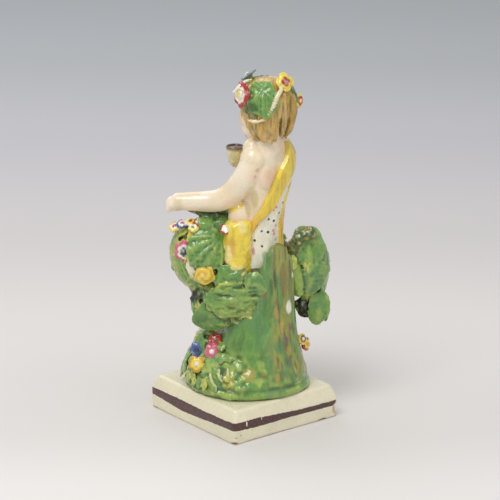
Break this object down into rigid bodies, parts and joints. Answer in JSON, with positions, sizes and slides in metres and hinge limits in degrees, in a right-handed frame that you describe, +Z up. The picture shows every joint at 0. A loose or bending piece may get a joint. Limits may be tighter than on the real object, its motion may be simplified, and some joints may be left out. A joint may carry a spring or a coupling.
{
  "type": "pearlware figure",
  "caption": "Glazed pottery ornament: a seated child with a flower wreath, a cup and a leafy garland on a tree stump, built together with a square plinth.",
  "frame": {"origin": "centre of the plinth's flat underside, on the surface the figure stands on", "axes": "+Z up; the child faces -Y; +X is the child's left, where the arm stretches over the garland"},
  "size_m": [0.0702, 0.0662, 0.167],
  "materials": {
    "painted_glaze": "coloured enamels in greens, flesh, ochre and yellow under a clear gloss glaze",
    "cream_glaze": "cream body under a clear gloss glaze, with a brown painted band round the side and bare buff chips"
  },
  "bodies": {
    "root": {"figure": "painted_glaze", "plinth": "cream_glaze"}
  },
  "joints": []
}
